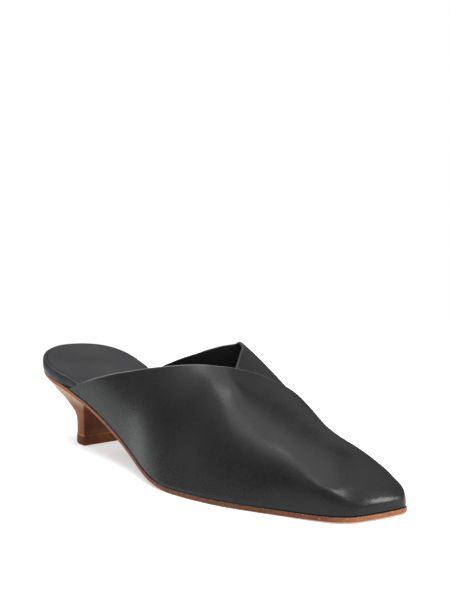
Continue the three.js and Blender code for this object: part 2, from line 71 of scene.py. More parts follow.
SECTIONS = dict(
    u=[40, 80, 115, 140, 160, 180, 200, 220, 235, 247, 256, 262, 265],
    bulgeO=[0.5, 0.65, -0.77, -2.53, -6.07, -4.93, -2.55, -1.34, -0.32, 0.01, 0.37, 0.4, 0.2],
    bulgeI=[0.5, 0.49, 1.0, 2.0, 2.51, 2.01, 1.99, 0.97, 0.5, 0.31, 0.27, 0.41, 0.2],
    shO=[30.8, 37.05, 44.78, 49.78, 51.67, 51.65, 38.69, 28.81, 22.94, 15.69, 12.6, 8.5, 4.1],
    shI=[30.8, 34.7, 40.94, 47.37, 43.06, 33.92, 24.62, 18.57, 17.25, 16.08, 12.43, 8.3, 4.9],
    insO=[6.0, 0.63, 4.94, 8.04, 13.71, 16.26, 10.46, 7.5, 5.15, 2.48, 1.6, 1.9, 1.0],
    insI=[6.0, 6.19, 6.05, 6.5, 6.49, 8.46, 10.47, 10.09, 6.31, 3.31, 2.5, 1.28, 1.5],
    crest=[110.0, 99.98, 86.4, 76.03, 65.61, 54.09, 44.68, 35.89, 31.27, 25.66, 18.88, 13.2, 8.3],
    crestW=[0.0, -4.83, -7.98, -9.46, -10.08, -8.55, -8.01, -5.88, -5.83, -4.28, -3.01, -2.4, -2.8],
    topO=[9.0, 8.83, 10.53, 16.0, 15.89, 15.74, 11.31, 8.31, 8.44, 8.69, 8.49, 9.2, 8.0],
    topI=[9.0, 8.76, 8.91, 9.98, 10.38, 10.69, 9.05, 7.88, 8.77, 9.22, 8.24, 7.9, 8.1],
    sharp=[0.4, 0.383, 0.389, 0.407, 0.396, 0.347, 0.29, 0.245, 0.199, 0.103, 0.099, 0.113, 0.09])
VAMP_EDGE = dict(
    u=[55, 61, 75, 90, 104, 120, 137, 152, 165, 177, 185, 191, 197, 203],
    v=[0.0, 0.0126, 0.043, 0.082, 0.1288, 0.1839, 0.2387, 0.2958, 0.3676, 0.4946, 0.5568, 0.6319, 0.8115, 1.0])
WING_EDGE = dict(
    u=[61.5, 66, 82, 101, 116, 129, 141, 148, 154, 160, 166, 171, 177, 186, 200, 214],
    v=[1.0, 0.9718, 0.9138, 0.8302, 0.7714, 0.724, 0.6684, 0.5982, 0.5555, 0.5075, 0.4654, 0.4295, 0.395, 0.36, 0.345, 0.38])
INSOLE = dict(u=[0, 50, 80, 120, 160, 265], t=[6.1, 6.1, 5.2, 3.5, 2.6, 2.3])
HEEL = dict(
    q=[0, 0.17, 0.34, 0.52, 0.67, 0.81, 0.92, 1],
    flare=[0.000, 0.000, 0.049, 0.237, 0.449, 0.687, 0.854, 1.000],
    breast=[44.8, 44.2, 45.7, 50.2, 56.3, 62.7, 67.4, 71.0])
SHAFT = dict(back=26.2, reach=17.8, half=13.8, power=2.1)


# ------------------------------------------------------------------ curves
def spline(t, key, by="u"):
    """Natural cubic spline through one column."""
    x, y = np.array(t[by], float), np.array(t[key], float)
    n = len(x)
    A, rhs = np.eye(n), np.zeros(n)
    h = np.diff(x)
    for i in range(1, n - 1):
        A[i, i - 1], A[i, i], A[i, i + 1] = h[i - 1], 2 * (h[i - 1] + h[i]), h[i]
        rhs[i] = 6 * ((y[i + 1] - y[i]) / h[i] - (y[i] - y[i - 1]) / h[i - 1])
    m = np.linalg.solve(A, rhs)

    def f(q):
        q = np.clip(np.asarray(q, float), x[0], x[-1])
        i = np.clip(np.searchsorted(x, q, side="right") - 1, 0, n - 2)
        a = (x[i + 1] - q) / h[i]
        b = 1 - a
        return a * y[i] + b * y[i + 1] + ((a**3 - a) * m[i] + (b**3 - b) * m[i + 1]) * h[i] ** 2 / 6
    return f


def edge(t, key):
    """Monotone cubic through one column."""
    x, y = np.array(t["u"], float), np.array(t[key], float)
    h, n = np.diff(x), len(x)
    d = np.diff(y) / h
    m = np.zeros(n)
    m[0], m[-1] = d[0], d[-1]
    for i in range(1, n - 1):
        if d[i - 1] * d[i] > 0:
            a, b = 2 * h[i] + h[i - 1], h[i] + 2 * h[i - 1]
            m[i] = (a + b) / (a / d[i - 1] + b / d[i])

    def f(q):
        q = np.clip(np.asarray(q, float), x[0], x[-1])
        i = np.clip(np.searchsorted(x, q, side="right") - 1, 0, n - 2)
        k = (q - x[i]) / h[i]
        r = 1 - k
        return (y[i] * r * r * (1 + 2 * k) + y[i + 1] * k * k * (3 - 2 * k)
                + h[i] * (m[i] * k * r * r - m[i + 1] * k * k * r))
    return f


def smooth(x):
    t = np.clip(x, 0, 1)
    return t * t * (3 - 2 * t)


def quarter(x, r):
    return r * (1 - np.sqrt(np.maximum(0, 1 - np.clip(np.asarray(x, float) / r, 0, 1) ** 2)))


def super1(x, p):
    return (1 - (1 - np.clip(x, 0, 1)) ** p) ** (1 / p)


plan_out, plan_inn = spline(PLAN, "out"), spline(PLAN, "inn")
_under, thick = spline(SOLE, "under"), spline(SOLE, "thick")
vamp_edge, wing_edge, insole_thick = edge(VAMP_EDGE, "v"), edge(WING_EDGE, "v"), edge(INSOLE, "t")
SEC = {k: spline(SECTIONS, k) for k in SECTIONS if k != "u"}
flare, breast = spline(HEEL, "flare", "q"), spline(HEEL, "breast", "q")


def under(u):
    return np.maximum(0, _under(u))


def seat(u):
    return under(u) + thick(u)


def bend(u, w):
    return -0.0056 * (w + 14) ** 2 * np.clip((u - 205) / 60, 0, 1) ** 2


def breadth(s):
    c, x = SEAT_ROUND["centre"], (s + 0.29) / SEAT_ROUND["reach"]
    out = c + (plan_out(s) - c) * super1(x, SEAT_ROUND["out"]) - quarter(s - (LENGTH - TOE_CORNER_OUT), TOE_CORNER_OUT)
    inn = c + (plan_inn(s) - c) * super1(x, SEAT_ROUND["inn"]) + quarter(s - (LENGTH - TOE_CORNER_IN), TOE_CORNER_IN)
    return out, inn


def weights(n, v, p=3):
    v = np.clip(v, 0, 1 - 1e-9)
    k = np.clip((np.arange(n + p + 1) - p) / (n - p), 0, 1)
    N = [((v >= k[i]) & (v < k[i + 1])).astype(float) for i in range(len(k) - 1)]
    for d in range(1, p + 1):
        M = []
        for i in range(len(N) - 1):
            t = np.zeros_like(v)
            if k[i + d] > k[i]:
                t = t + (v - k[i]) / (k[i + d] - k[i]) * N[i]
            if k[i + d + 1] > k[i + 1]:
                t = t + (k[i + d + 1] - v) / (k[i + d + 1] - k[i + 1]) * N[i + 1]
            M.append(t)
        N = M
    return np.stack(N, -1)


def last(s, v, inside=False):
    """Points of the last: station s, share v of the girth from the outer feather (0) to the inner (1)."""
    s, v = np.broadcast_arrays(np.asarray(s, float), np.asarray(v, float))
    g = {k: f(s) for k, f in SEC.items()}
    out, inn = breadth(s)
    ridge = TOE_PUFF if inside else TOE_RIDGE
    z0, drop = seat(s), quarter(s - (LENGTH - ridge), ridge)
    hO, hI, top = g["shO"] - drop, g["shI"] - drop, g["crest"] - z0 - drop
    P = lambda a, b: np.stack([a, b], -1)
    r = (np.maximum(g["sharp"], SOFT_TURN) if inside else g["sharp"])[..., None]
    side, turn, crest = P(out + g["bulgeO"], 0.5 * hO), P(out - g["insO"], hO), P(g["crestW"] + g["topO"], top)
    side2, turn2, crest2 = P(inn - g["bulgeI"], 0.5 * hI), P(inn + g["insI"], hI), P(g["crestW"] - g["topI"], top)
    zero = np.zeros_like(s)
    cp = np.stack([P(out, zero), side, turn + (side - turn) * r, turn + (crest - turn) * r, crest, crest2,
                   turn2 + (crest2 - turn2) * r, turn2 + (side2 - turn2) * r, side2, P(inn, zero)], -2)
    q = (weights(10, v)[..., None] * cp).sum(-2)
    return np.stack([s + bend(s, q[..., 0]), q[..., 0], z0 + q[..., 1]], -1)


def unit(a):
    return a / np.maximum(np.linalg.norm(a, axis=-1, keepdims=True), 1e-12)


def last_normal(s, v, inside=False):
    s, v = np.broadcast_arrays(np.asarray(s, float), np.asarray(v, float))
    low = (v < 0.02) | (v > 0.98)
    vv = np.clip(v, 0.0005, 0.9995)
    a, b = last(s, vv, inside), last(s - 0.02, vv, inside)
    c, d = last(s, np.clip(vv + 0.002, 0, 1), inside), last(s, np.clip(vv - 0.002, 0, 1), inside)
    n = unit(np.cross(a - b, c - d))
    flat = unit(n * np.array([1, 1, 0]))
    # the feather end faces straight out
    k = np.clip(np.minimum(vv, 1 - vv) / 0.02, 0, 1)[..., None]
    n = np.where(low[..., None], unit(n * k + flat * (1 - k)), n)
    out, inn = breadth(s)
    sign = np.where(n[..., 1] * (a[..., 1] - (out + inn) / 2) + n[..., 2] * 20 < 0, -1, 1)
    return n * sign[..., None]


def world(p):
    p = np.asarray(p, float)
    return np.stack([CENTRE_W - p[..., 1], CENTRE_U - p[..., 0], p[..., 2]], -1) / 1000


# ------------------------------------------------------------------ meshes
def weld(name, verts, faces, index, mats, sharp=40):
    """A closed mesh from points in last coordinates: doubles merged, faces turned outwards, corners over `sharp` degrees kept."""
    me = bpy.data.meshes.new(name)
    me.from_pydata([tuple(v) for v in world(verts)], [], [tuple(int(k) for k in f) for f in faces])
    me.polygons.foreach_set("material_index", np.array(index, np.int32))
    bm = bmesh.new()
    bm.from_mesh(me)
    bmesh.ops.remove_doubles(bm, verts=bm.verts, dist=4e-6)
    bmesh.ops.dissolve_degenerate(bm, edges=bm.edges, dist=1e-6)
    loose = [v for v in bm.verts if not v.link_faces]
    bmesh.ops.delete(bm, geom=loose, context="VERTS")
    bmesh.ops.recalc_face_normals(bm, faces=bm.faces)
    if bm.calc_volume(signed=True) < 0:
        bmesh.ops.reverse_faces(bm, faces=bm.faces)
    bm.to_mesh(me)
    bm.free()
    me.polygons.foreach_set("use_smooth", [True] * len(me.polygons))
    me.set_sharp_from_angle(angle=math.radians(sharp))
    for m in mats:
        me.materials.append(m)
    me.update()
    ob = bpy.data.objects.new(name, me)
    bpy.context.scene.collection.objects.link(ob)
    return ob


_gs = np.linspace(40, LENGTH, 60)
_gp = last(_gs[:, None], np.linspace(0, 1, 41)[None])
_gl = np.linalg.norm(np.diff(_gp, axis=1), axis=-1).sum(1)


def girth(s):
    return np.interp(s, _gs, _gl)


def lap(s, v):
    """1 where the wing lies under the vamp, fading beyond its hidden edges."""
    across, ahead = (wing_edge(s) - v) * GIRTH, s - WING_END
    return smooth(1 - (across - 1.5) / 14) * smooth(1 - (ahead - 1) / 16)


def blob(s, v, s0, v0, ls, lv, turn=0.0):
    """A soft bump of height 1 at station s0 and girth share v0; ls along and lv across in mm, turned by `turn` radians."""
    a, b = s - s0, (v - v0) * GIRTH
    c, d = a * math.cos(turn) + b * math.sin(turn), -a * math.sin(turn) + b * math.cos(turn)
    return np.exp(-(c / ls) ** 2 - (d / lv) ** 2)


def supple(s, v):
    """Softness of the leather over the last: listed troughs and ridges and a faint unevenness, in mm."""
    h = np.zeros(np.broadcast(s, v).shape)
    for depth, s0, v0, ls, lv, turn in CREASES:
        h = h + depth * blob(s, v, s0, v0, ls, lv, turn)
    h = h + 0.07 * np.sin(s / 13.0 + 5.2 * v + 0.7) * np.sin(9.0 * v + s / 31.0)
    h = h + 0.03 * np.sin(s / 5.1 - 14.0 * v + 1.3) * np.sin(s / 17.0 + 3.0)
    return h * smooth(np.minimum(v, 1 - v) / 0.12) * smooth((LENGTH - 12 - s) / 26)


# Depth (mm), station, girth share, length along and across (mm), turn (radians).
CREASES = [
    (-0.16, 177, 0.30, 5.0, 18, 0.25), (0.10, 185, 0.32, 5.5, 18, 0.25), (-0.10, 194, 0.38, 5.0, 16, 0.35), (0.08, 203, 0.36, 6.0, 16, 0.30),
    (-0.22, 172, 0.80, 4.6, 14, -0.30), (0.16, 179, 0.80, 5.0, 14, -0.30), (-0.14, 160, 0.76, 4.6, 12, -0.25), (0.12, 150, 0.80, 5.0, 12, -0.2),
    (-0.12, 214, 0.66, 6.0, 18, -0.2), (0.10, 226, 0.58, 7.0, 18, 0.1), (-0.10, 120, 0.10, 7.0, 15, 0.1), (0.10, 98, 0.06, 8.0, 8, 0.0),
]
FOOT = 0.12          # between the upper's lower edge and the sole


def leather_sheet(name, S, feather, edge_of, proud, depth, ncol, mats, toe=False):
    """One leather with its lining as a closed sheet: outer face from the feather to the cut edge, the rounded
    edge, and the inner face back again. Slot 0 is the outside, slot 1 the lining, slot 2 the cut edge, paler as edge
    paint and as a painted highlight of the rounded edge."""
    S = np.asarray(S, float)
    t = np.linspace(0, 1, ncol)
    t = t - 0.6 * np.sin(2 * np.pi * t) / (2 * np.pi)
    G = girth(S)
    cut = edge_of(S)
    # the rounded edge ends where the leather is cut
    slope = np.gradient(cut, S) * G
    shy = 0.5 * 0.8 * np.minimum(np.sqrt(1 + slope**2), 3) / G
    free = smooth(np.minimum(cut, 1 - cut) / 0.05)
    cut = cut - (1 if feather == 0 else -1) * shy * free
    V = feather + (cut[:, None] - feather) * t[None]
    SS = np.repeat(S[:, None], ncol, 1)
    P, N = last(SS, V), last_normal(SS, V)
    off = proud(SS, V) + supple(SS, V)
    outer = P + N * off[..., None]
    inner = last(SS, V, True) + last_normal(SS, V, True) * (off - depth(SS, V))[..., None]
    foot = (V < 1e-7) | (V > 1 - 1e-7)
    out_of = unit(N * np.array([1, 1, 0]))
    for Q, k in ((outer, 0.35), (inner, 0.0)):
        floor = seat(Q[..., 0])
        h = np.where(foot, 0, np.maximum(0, Q[..., 2] - floor))
        # the lowest 3 mm are lifted clear of the sole
        Q[..., 2] = floor + np.where(h < 3, FOOT + h * (1 - FOOT / 3), h)
        h = Q[..., 2] - floor - FOOT
        Q -= out_of * (k * (1 - np.clip(h / 1.0, 0, 1)) ** 2)[..., None]
    if toe:
        k = np.linspace(0, 1, 13)[1:]
        def fall(grid, tuck):
            ring, rows = grid[-1], []
            for q in k:
                r = ring.copy()
                zb = seat(ring[:, 0]) + FOOT
                r[:, 2] = ring[:, 2] + (zb - ring[:, 2]) * q
                h = r[:, 2] - zb
                r[:, 0] = ring[:, 0] - tuck * (1 - np.clip(h / 1.0, 0, 1)) ** 2
                rows.append(r)
            return np.concatenate([grid, np.stack(rows)], 0)
        outer, inner = fall(outer, 0.35), fall(inner, 0.0)
        free = np.concatenate([free, np.repeat(free[-1], len(k))])
    o, i = outer[:, -1], inner[:, -1]
    mid, up = (o + i) / 2, (o - i) / 2
    along = unit(np.gradient(mid, axis=0))
    away = unit(np.cross(along, up))
    away *= np.where((away * (o - outer[:, -2])).sum(-1) < 0, -1, 1)[:, None]
    th = np.linspace(0, np.pi, 11)[1:-1]
    r = np.linalg.norm(up, axis=-1) * free
    arc = mid[:, None] + up[:, None] * np.cos(th)[None, :, None] + (away * r[:, None])[:, None] * np.sin(th)[None, :, None]
    arc[..., 2] = np.maximum(arc[..., 2], seat(arc[..., 0]) + FOOT)
    grid = np.concatenate([outer, arc, inner[:, ::-1]], 1)
    R, C = grid.shape[:2]
    # The paler edge slot also covers the outward-facing arc faces, painting the highlight line along the edge.
    kinds = [0] * (ncol - 1) + [2] * 8 + [1] * 2 + [1] * (ncol - 1) + [1]
    faces, index = [], []
    for a in range(R - 1):
        for c in range(C):
            d = (c + 1) % C
            faces.append((a * C + c, a * C + d, (a + 1) * C + d, (a + 1) * C + c))
            index.append(kinds[c])
    for row in (0, R - 1):
        n = (C - 1) // 2
        for c in range(n - 1):
            faces.append((row * C + c, row * C + c + 1, row * C + C - 2 - c, row * C + C - 1 - c))
            index.append(1)
        faces.append((row * C + n - 1, row * C + n, row * C + n + 1))
        index.append(1)
    return weld(name, grid.reshape(-1, 3), faces, index, mats)


# ------------------------------------------------------------------ plates that follow the foot's outline
def side_line(side, end, corner, n):
    """One side of the foot's outline in plan from the back of the heel to `end`, with n points closer where it turns."""
    a = np.radians(np.linspace(0, 90, 91))
    lo = -0.29 + SEAT_ROUND["reach"] * (1 - np.cos(a))
    b = np.radians(np.linspace(0, 90, 31))
    hi = end - corner + corner * np.sin(b)
    s = np.concatenate([lo, np.arange(lo[-1] + 0.8, end - corner - 0.4, 0.8), hi])
    w = breadth(s)[side]
    if end < LENGTH:
        w = w + (-1 if side == 0 else 1) * quarter(s - (end - corner), corner)
    p = np.stack([s + bend(s, w), w], -1)
    d = np.linalg.norm(np.diff(p, axis=0), axis=1)
    keep = np.concatenate([[True], d > 1e-6])
    p, s = p[keep], s[keep]
    d = np.linalg.norm(np.diff(p, axis=0), axis=1)
    heading = np.unwrap(np.arctan2(np.diff(p[:, 1]), np.diff(p[:, 0])))
    turn = np.abs(np.gradient(heading)) / d
    weight = d * (1 + 2.5 * np.clip(turn * 6, 0, 1.6))
    k = np.concatenate([[0], np.cumsum(weight)])
    q = np.linspace(0, k[-1], n)
    return np.stack([np.interp(q, k, p[:, 0]), np.interp(q, k, p[:, 1]), np.interp(q, k, s)], -1)


class Outline:
    """Closed ring round the foot's outline: near side forward, the front edge, far side back."""

    def __init__(self, end=LENGTH, corners=(TOE_CORNER_OUT, TOE_CORNER_IN), n=250, front=30):
        near, far = side_line(0, end, corners[0], n), side_line(1, end, corners[1], n)
        w = near[-1, 1] + (far[-1, 1] - near[-1, 1]) * np.linspace(0, 1, front + 2)[1:-1]
        edge_pts = np.stack([end + bend(end, w), w, np.full(front, end)], -1)
        ring = np.concatenate([near, edge_pts, far[:0:-1]])
        self.n, self.front, self.K = n, front, len(ring)
        # ease the very back, where the two sides' curves meet
        for _ in range(40):
            near_back = smooth((9 - ring[:, 2]) / 6)[:, None] * 0.5
            even = (np.roll(ring, 1, 0) + np.roll(ring, -1, 0)) / 2
            ring = ring + (even - ring) * near_back * np.array([1, 1, 0])
        self.ring, self.s = ring[:, :2], ring[:, 2]
        t = unit(np.roll(self.ring, -1, 0) - np.roll(self.ring, 1, 0))
        inward = np.stack([-t[:, 1], t[:, 0]], -1)
        centre = self.ring.mean(0)
        if ((centre - self.ring) * inward).sum() < 0:
            inward = -inward
        self.inward = inward

    def inset(self, d):
        return self.ring + self.inward * np.broadcast_to(d, (self.K,))[:, None]

    def solid(self, name, levels, mats, slots=None, sharp=40):
        """levels: (inset, z(plan points)) from the middle of the underside, round the edge, to the middle of the top."""
        n, m, K = self.n, self.front, self.K
        rings = []
        for inset, z in levels:
            p = self.inset(inset)
            rings.append(np.concatenate([p, z(p)[:, None]], -1))
        pts, faces, index = [np.concatenate(rings)], [], []
        for k in range(len(rings) - 1):
            for c in range(K):
                d = (c + 1) % K
                faces.append((k * K + c, k * K + d, (k + 1) * K + d, (k + 1) * K + c))
                index.append(slots[k] if slots else 0)
        base = len(rings) * K
        for which in (0, len(rings) - 1):
            ring, z = rings[which], levels[which][1]
            t = (np.arange(m) + 1) / (m + 1)
            rows = np.arange(1, n - 1)
            a, b = ring[rows], ring[K - rows]
            inside = a[:, None, :2] + (b - a)[:, None, :2] * t[None, :, None]
            zz = z(inside.reshape(-1, 2))
            pts.append(np.concatenate([inside.reshape(-1, 2), zz[:, None]], -1))
            off = which * K
            def at(i, j):
                if i == n - 1:
                    return off + n - 1 + j
                if j == 0:
                    return off + i
                if j == m + 1:
                    return off + K - i
                return base + (i - 1) * m + j - 1
            slot = 0 if which == 0 else (slots[-1] if slots else 0)
            for j in range(m + 1):
                faces.append((off, at(1, j), at(1, j + 1)))
                index.append(slot)
            for i in range(1, n - 1):
                for j in range(m + 1):
                    faces.append((at(i, j), at(i, j + 1), at(i + 1, j + 1), at(i + 1, j)))
                    index.append(slot)
            base += len(rows) * m
        return weld(name, np.concatenate(pts), faces, index, mats, sharp)


# ------------------------------------------------------------------ materials
def coords(nt):
    return nt.nodes.new("ShaderNodeTexCoord").outputs["Object"]


def node(nt, kind, ins=None, **props):
    n = nt.nodes.new(kind)
    for k, v in props.items():
        setattr(n, k, v)
    for k, v in (ins or {}).items():
        if isinstance(v, bpy.types.NodeSocket):
            nt.links.new(v, n.inputs[k])
        else:
            n.inputs[k].default_value = v
    return n


def noise(nt, at, scale, detail=3.0, rough=0.5, lump=0.0):
    return node(nt, "ShaderNodeTexNoise", {"Vector": at, "Scale": scale, "Detail": detail, "Roughness": rough, "Distortion": lump}).outputs["Fac"]


def stretch(nt, at, by):
    return node(nt, "ShaderNodeMapping", {"Vector": at, "Scale": by}).outputs["Vector"]


def remap(nt, fac, a, b, c=0.0, d=1.0):
    return node(nt, "ShaderNodeMapRange", {"Value": fac, "From Min": a, "From Max": b, "To Min": c, "To Max": d}).outputs["Result"]


def blend_colour(nt, fac, a, b, how="MIX"):
    n = nt.nodes.new("ShaderNodeMix")
    n.data_type, n.blend_type = "RGBA", how
    for key, v in (("Factor", fac), ("A", a), ("B", b)):
        s = n.inputs[0] if key == "Factor" else [i for i in n.inputs if i.name == key and i.type == "RGBA"][0]
        if isinstance(v, bpy.types.NodeSocket):
            nt.links.new(v, s)
        else:
            s.default_value = v
    return [o for o in n.outputs if o.type == "RGBA"][0]


def sums(nt, a, b, how="ADD"):
    n = nt.nodes.new("ShaderNodeMath")
    n.operation = how
    for k, v in ((0, a), (1, b)):
        if isinstance(v, bpy.types.NodeSocket):
            nt.links.new(v, n.inputs[k])
        else:
            n.inputs[k].default_value = v
    return n.outputs[0]


def relief(nt, height, strength, mm, normal=None):
    ins = {"Height": height, "Strength": strength, "Distance": mm / 1000}
    if normal is not None:
        ins["Normal"] = normal
    return node(nt, "ShaderNodeBump", ins).outputs["Normal"]


def grey(hexa):
    """sRGB 0-255 to a linear colour."""
    c = [((x / 255 + 0.055) / 1.055) ** 2.4 if x > 10 else x / 255 / 12.92 for x in hexa]
    return (*c, 1.0)


def start(name):
    m = bpy.data.materials.new(name)
    m.use_nodes = True
    nt = m.node_tree
    return m, nt, nt.nodes["Principled BSDF"]


def calf(name, deep, light, rough=(0.40, 0.52), grain=1.0, spec=0.4, coat=0.0):
    """Smooth black calf: fine pores and pebble, faint mottling of tone and gloss."""
    m, nt, b = start(name)
    at = coords(nt)
    cloud = noise(nt, at, 38, 3, 0.55)
    fine = noise(nt, at, 420, 4, 0.6)
    tone = sums(nt, sums(nt, cloud, 0.7, "MULTIPLY"), sums(nt, fine, 0.3, "MULTIPLY"))
    col = blend_colour(nt, remap(nt, tone, 0.36, 0.66), deep, light)
    nt.links.new(col, b.inputs["Base Color"])
    nt.links.new(remap(nt, sums(nt, sums(nt, fine, 0.55, "MULTIPLY"), sums(nt, cloud, 0.45, "MULTIPLY")), 0.34, 0.68, rough[0], rough[1]), b.inputs["Roughness"])
    pebble = node(nt, "ShaderNodeTexVoronoi", {"Vector": at, "Scale": 1250.0, "Randomness": 1.0}, feature="SMOOTH_F1").outputs["Distance"]
    pores = noise(nt, at, 1700, 3, 0.6)
    soft = noise(nt, at, 330, 3, 0.6)
    n1 = relief(nt, soft, 0.6 * grain, 0.06)
    n2 = relief(nt, pebble, 0.6 * grain, 0.06, n1)
    n3 = relief(nt, pores, 0.5 * grain, 0.022, n2)
    nt.links.new(n3, b.inputs["Normal"])
    b.inputs["Specular IOR Level"].default_value = spec
    if coat:
        b.inputs["Coat Weight"].default_value = coat
        b.inputs["Coat Roughness"].default_value = 0.3
    return m


def natural_edge(name, stops, axis_from, axis_to, fibre=1.0, rough=(0.42, 0.62), speckle=0.35):
    """Finished edge of sole leather: colour drifting along the shoe, darker burnish, fibres lying flat."""
    m, nt, b = start(name)
    at = coords(nt)
    y = node(nt, "ShaderNodeSeparateXYZ", {"Vector": at}).outputs["Y"]
    along = remap(nt, y, axis_from, axis_to)
    ramp = nt.nodes.new("ShaderNodeValToRGB")
    nt.links.new(along, ramp.inputs["Fac"])
    e = ramp.color_ramp.elements
    e[0].position, e[0].color = stops[0][0], stops[0][1]
    e[1].position, e[1].color = stops[-1][0], stops[-1][1]
    for pos, col in stops[1:-1]:
        k = e.new(pos)
        k.color = col
    flat = stretch(nt, at, (1.0, 1.0, 7.0))
    fib = noise(nt, flat, 620, 4, 0.65, 0.3)
    cloud = noise(nt, at, 95, 4, 0.6)
    dots = noise(nt, at, 1500, 2, 0.6)
    dark = blend_colour(nt, remap(nt, sums(nt, sums(nt, fib, 0.55, "MULTIPLY"), sums(nt, cloud, 0.45, "MULTIPLY")), 0.38, 0.64, 0.0, speckle * 1.6), ramp.outputs["Color"], (0.30, 0.22, 0.16, 1), "MULTIPLY")
    col = blend_colour(nt, remap(nt, dots, 0.56, 0.72, 0.0, speckle), dark, (0.80, 0.62, 0.42, 1), "MIX")
    nt.links.new(col, b.inputs["Base Color"])
    nt.links.new(remap(nt, cloud, 0.3, 0.7, rough[0], rough[1]), b.inputs["Roughness"])
    n1 = relief(nt, fib, 0.6 * fibre, 0.06)
    n2 = relief(nt, dots, 0.4 * fibre, 0.04, n1)
    nt.links.new(n2, b.inputs["Normal"])
    b.inputs["Specular IOR Level"].default_value = 0.2
    return m


black = calf("upper_calf", grey((17, 17, 18)), grey((23, 23, 23)), (0.24, 0.34), 1.0, 0.2)
wing_black = calf("wing_calf", grey((17, 17, 18)), grey((23, 23, 23)), (0.26, 0.36), 1.0, 0.2)
# Paler grey cut edges: partly edge paint, partly a painted highlight standing in for the light caught by the rounded
# edge.
edge_paint_and_highlight = calf("edge_paint_and_highlight", grey((66, 66, 67)), grey((92, 91, 90)), (0.45, 0.6), 0.6, 0.3)
wing_rim_paint_and_highlight = calf("wing_rim_paint_and_highlight", grey((34, 34, 35)), grey((52, 52, 52)), (0.45, 0.6), 0.6, 0.2)
lining = calf("upper_lining", grey((12, 12, 13)), grey((19, 19, 20)), (0.55, 0.68), 0.6, 0.15)
sock = calf("insole_sock", grey((30, 30, 32)), grey((42, 41, 42)), (0.50, 0.62), 0.8, 0.16)
wrap = calf("insole_wrap", grey((17, 18, 21)), grey((25, 27, 30)), (0.34, 0.46), 0.8, 0.3)

sole_edge = natural_edge("sole_edge", [
    (0.0, grey((128, 76, 39))), (0.05, grey((98, 50, 22))), (0.16, grey((82, 40, 18))), (0.5, grey((88, 46, 23))), (0.72, grey((122, 72, 42))), (1.0, grey((144, 92, 60)))],
    -0.133, 0.133, speckle=0.2)
# Dark band over the top of the sole's edge and its top face, under the upper: painted shade of the gap between upper
# and sole.
sole_gap_shade = natural_edge("sole_gap_shade", [(0.0, grey((64, 38, 26))), (1.0, grey((52, 34, 26)))], -0.133, 0.133, 0.6, (0.5, 0.65), 0.1)
sole_face = natural_edge("sole_face", [(0.0, grey((150, 104, 70))), (1.0, grey((150, 98, 66)))], -0.133, 0.133, 0.5, (0.5, 0.65), 0.2)


def heel_material():
    """Stacked leather: thin horizontal lifts, orange-brown flanks with lighter flecks, paler towards the top as a
    painted highlight on the flare, dark breast.
    """
    m, nt, b = start("heel_stack")
    at = coords(nt)
    xyz = node(nt, "ShaderNodeSeparateXYZ", {"Vector": at})
    z, y = xyz.outputs["Z"], xyz.outputs["Y"]
    wob = noise(nt, at, 60, 2, 0.5)
    zz = sums(nt, z, sums(nt, sums(nt, wob, 0.5, "SUBTRACT"), 0.0006, "MULTIPLY"))
    lift = sums(nt, sums(nt, zz, 0.0063, "SUBTRACT"), 1 / 0.0035, "MULTIPLY")
    frac = sums(nt, lift, 1.0, "MODULO")
    gap = node(nt, "ShaderNodeMapRange", {"Value": sums(nt, sums(nt, frac, 0.5, "SUBTRACT"), 0.0, "ABSOLUTE"), "From Min": 0.43, "From Max": 0.5, "To Min": 0.0, "To Max": 1.0}).outputs["Result"]
    layer = noise(nt, stretch(nt, at, (0.001, 0.001, 1.0)), 300, 0, 0.5)
    flat = stretch(nt, at, (1.0, 1.0, 6.0))
    fib = noise(nt, flat, 520, 4, 0.65, 0.3)
    cloud = noise(nt, at, 120, 4, 0.6)
    base = blend_colour(nt, remap(nt, cloud, 0.35, 0.65), grey((104, 54, 18)), grey((130, 74, 30)))
    base = blend_colour(nt, remap(nt, layer, 0.35, 0.65, 0.0, 0.35), base, grey((118, 66, 32)))
    base = blend_colour(nt, remap(nt, fib, 0.46, 0.66, 0.0, 0.5), base, grey((92, 48, 22)))
    base = blend_colour(nt, remap(nt, noise(nt, at, 1300, 2, 0.6), 0.58, 0.72, 0.0, 0.4), base, grey((196, 140, 88)))
    # Pale cream over the top of the heel, from 24 to 36 mm up: a painted highlight where the flare catches the light.
    top = remap(nt, z, 0.024, 0.036)
    base = blend_colour(nt, sums(nt, top, 0.5, "MULTIPLY"), base, grey((206, 176, 138)))
    base = blend_colour(nt, sums(nt, gap, 0.35, "MULTIPLY"), base, grey((70, 40, 24)))
    nt.links.new(base, b.inputs["Base Color"])
    nt.links.new(remap(nt, cloud, 0.3, 0.7, 0.36, 0.55), b.inputs["Roughness"])
    n1 = relief(nt, sums(nt, 1.0, gap, "SUBTRACT"), 0.5, 0.10)
    n2 = relief(nt, fib, 0.5, 0.05, n1)
    nt.links.new(n2, b.inputs["Normal"])
    b.inputs["Specular IOR Level"].default_value = 0.08
    return m


